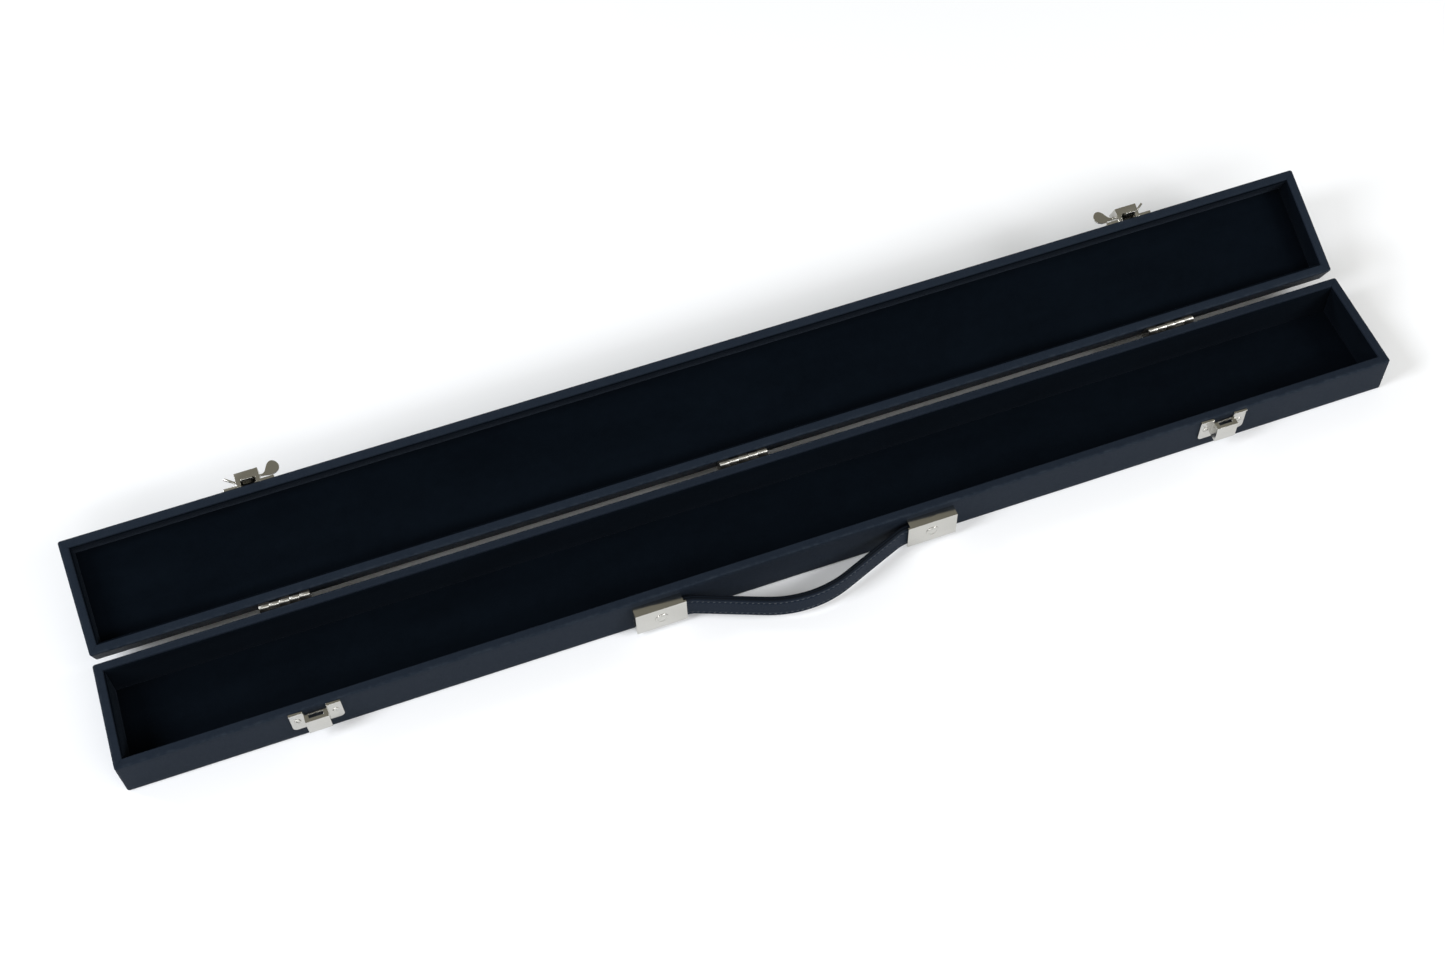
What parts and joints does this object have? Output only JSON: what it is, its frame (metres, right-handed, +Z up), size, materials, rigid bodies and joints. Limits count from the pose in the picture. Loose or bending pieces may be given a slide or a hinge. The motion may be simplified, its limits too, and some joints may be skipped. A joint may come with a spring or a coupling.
{
  "type": "cue case",
  "caption": "Slim hinged hard case for a jointed billiard cue: covered wooden box and lid, velvet lining, sprung latches and a bowed carrying handle.",
  "frame": {"origin": "middle of the box's flat underside", "axes": "+X along the case's length, +Y from the handle side towards the hinges, +Z up through the open box"},
  "size_m": [0.84, 0.1927, 0.0674],
  "materials": {
    "leathercloth": "fine-grained black leathercloth, low sheen",
    "velvet": "short black velvet pile on card",
    "wood_board": "plain fibreboard, hidden by its covering",
    "strap_leather": "black stitched strap, soft sheen",
    "spring_steel": "plain spring steel",
    "nickel": "bright nickel plate, slightly warm"
  },
  "bodies": {
    "box": {"box_bottom_panel": "wood_board", "box_front_board": "wood_board", "box_back_board": "wood_board", "box_left_end_board": "wood_board", "box_right_end_board": "wood_board", "box_bottom_covering": "leathercloth", "box_wall_covering": "leathercloth", "box_floor_lining": "velvet", "box_front_lining": "velvet", "box_back_lining": "velvet", "box_left_end_lining": "velvet", "box_right_end_lining": "velvet", "box_hinge_rivets": "nickel", "keeper_rivets": "nickel", "handle_cap_rivets": "nickel", "handle_inner_ply": "strap_leather", "handle_core_strip": "spring_steel", "handle_outer_ply": "strap_leather", "left_hinge_box_leaf": "nickel", "middle_hinge_box_leaf": "nickel", "right_hinge_box_leaf": "nickel", "left_hinge_pin": "nickel", "middle_hinge_pin": "nickel", "right_hinge_pin": "nickel", "left_keeper": "nickel", "left_handle_cap": "nickel", "left_handle_backing_plate": "spring_steel", "right_keeper": "nickel", "right_handle_cap": "nickel", "right_handle_backing_plate": "spring_steel"},
    "lid": {"lid_top_panel": "wood_board", "lid_front_board": "wood_board", "lid_back_board": "wood_board", "lid_left_end_board": "wood_board", "lid_right_end_board": "wood_board", "lid_top_covering": "leathercloth", "lid_wall_covering": "leathercloth", "lid_top_lining": "velvet", "lid_front_lining": "velvet", "lid_back_lining": "velvet", "lid_left_end_lining": "velvet", "lid_right_end_lining": "velvet", "lid_hinge_rivets": "nickel", "latch_plate_rivets": "nickel", "left_hinge_lid_leaf": "nickel", "middle_hinge_lid_leaf": "nickel", "right_hinge_lid_leaf": "nickel", "left_latch_plate": "nickel", "right_latch_plate": "nickel"},
    "left_latch_lever": {"left_latch_shaft": "nickel", "left_latch_tongue": "nickel", "left_latch_paddle": "nickel", "left_latch_spring": "spring_steel"},
    "right_latch_lever": {"right_latch_shaft": "nickel", "right_latch_tongue": "nickel", "right_latch_paddle": "nickel", "right_latch_spring": "spring_steel"}
  },
  "joints": [
    {"name": "lid_hinge", "type": "hinge", "parent": "box", "child": "lid", "pos_m": [0, 0.03983, 0.0307], "axis": [1, 0, 0], "range_deg": [0, 157.3]},
    {"name": "left_latch_release", "type": "hinge", "parent": "lid", "child": "left_latch_lever", "pos_m": [-0.3, 0.11829, 0.05518], "axis": [-1, 0, 0], "range_deg": [0, 6], "stiffness_Nm_per_rad": 0.06, "springref_deg": -20.05},
    {"name": "right_latch_release", "type": "hinge", "parent": "lid", "child": "right_latch_lever", "pos_m": [0.3, 0.11829, 0.05518], "axis": [-1, 0, 0], "range_deg": [0, 6], "stiffness_Nm_per_rad": 0.06, "springref_deg": -20.05}
  ]
}
